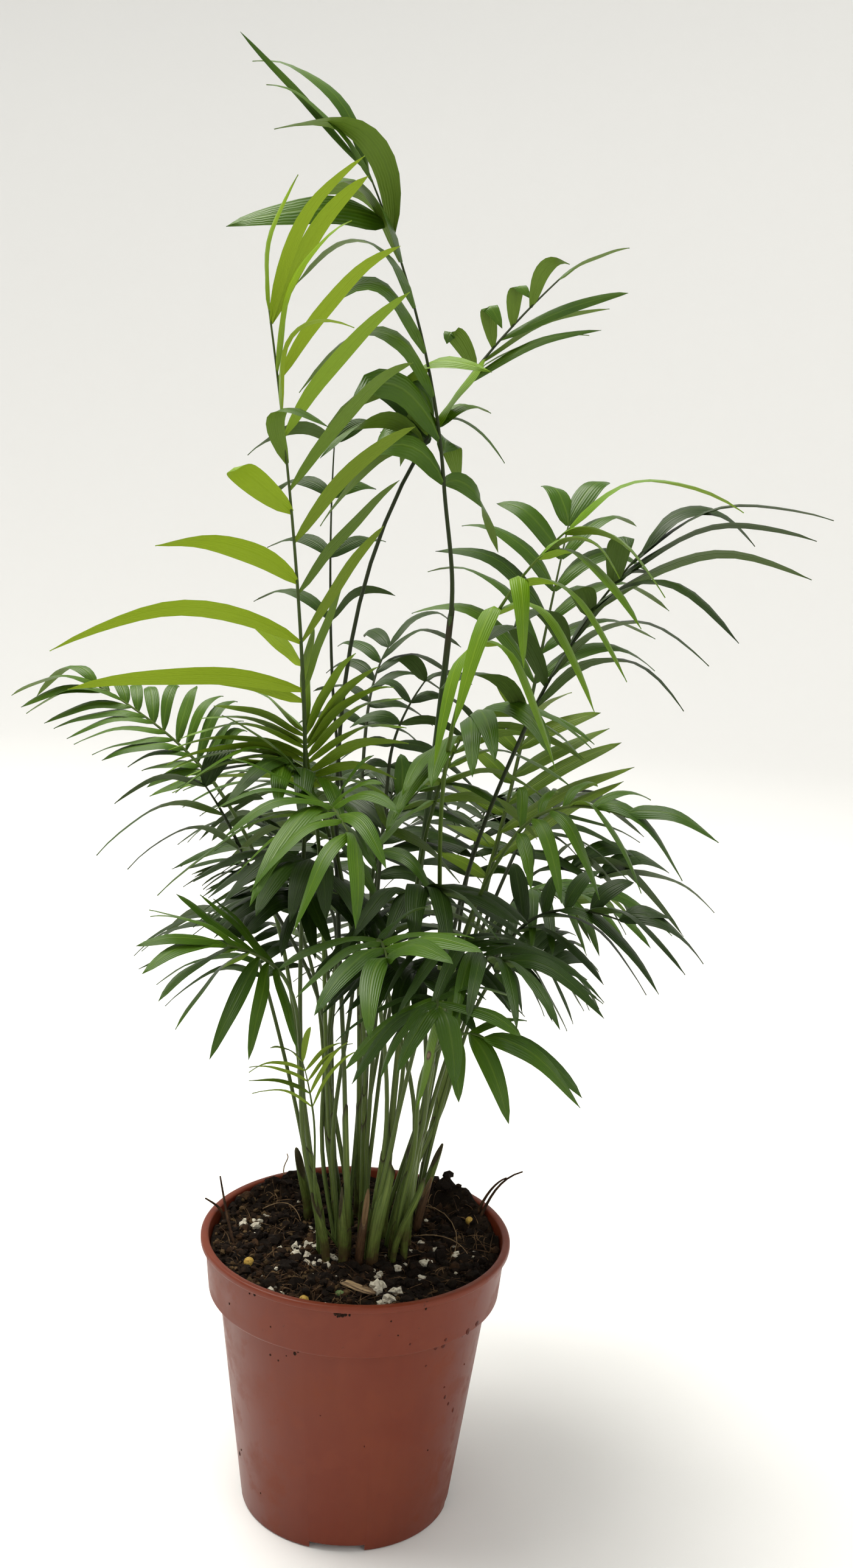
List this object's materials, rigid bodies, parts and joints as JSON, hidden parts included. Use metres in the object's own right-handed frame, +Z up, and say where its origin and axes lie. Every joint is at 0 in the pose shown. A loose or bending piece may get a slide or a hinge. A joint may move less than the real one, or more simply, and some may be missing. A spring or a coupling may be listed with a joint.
{
  "type": "potted parlour palm",
  "caption": "Clump of young feather-leaved palms with thin canes and arching fronds, growing in a tapered round nursery pot filled with soil.",
  "frame": {"origin": "middle of the pot's flat underside, on the floor", "axes": "+Z up along the plant's height, -Y towards the front view, +X to the right of it"},
  "size_m": [0.2912, 0.2916, 0.548],
  "materials": {
    "pot": "satin",
    "soil": "matte, crumbly",
    "cane": "matte, finely striped",
    "leaf_bright": "satin",
    "leaf_mid": "satin",
    "leaf_dark": "satin"
  },
  "bodies": {
    "root": {"pot": "pot", "soil": "soil", "stem_01": "cane", "stem_02": "cane", "stem_03": "cane", "stem_04": "cane", "stem_05": "cane", "stem_06": "cane", "stem_07": "cane", "stem_08": "cane", "stem_09": "cane", "stem_10": "cane", "stem_11": "cane", "stem_12": "cane", "stem_13": "cane", "frond_tall": "leaf_mid", "frond_bright": "leaf_bright", "frond_thin": "leaf_mid", "frond_high_right": "leaf_mid", "frond_right": "leaf_dark", "frond_right_behind": "leaf_mid", "frond_light": "leaf_bright", "frond_inner_right": "leaf_mid", "frond_right_front": "leaf_mid", "frond_low_right_behind": "leaf_dark", "frond_low_right": "leaf_dark", "frond_low_right_small": "leaf_dark", "frond_low_front_right": "leaf_mid", "frond_front_broad": "leaf_mid", "frond_front_right": "leaf_mid", "frond_low_left": "leaf_mid", "frond_seedling": "leaf_bright", "frond_left": "leaf_mid", "frond_left_dark": "leaf_dark", "frond_center_front": "leaf_mid", "frond_center_left": "leaf_bright", "frond_left_behind": "leaf_dark", "frond_back_high": "leaf_dark", "frond_drooping": "leaf_dark", "frond_center_right": "leaf_mid", "frond_back_center": "leaf_dark", "frond_back_right": "leaf_dark", "frond_back_left": "leaf_dark", "frond_far_right": "leaf_dark", "frond_back_low": "leaf_dark", "frond_far_left": "leaf_dark"}
  },
  "joints": []
}
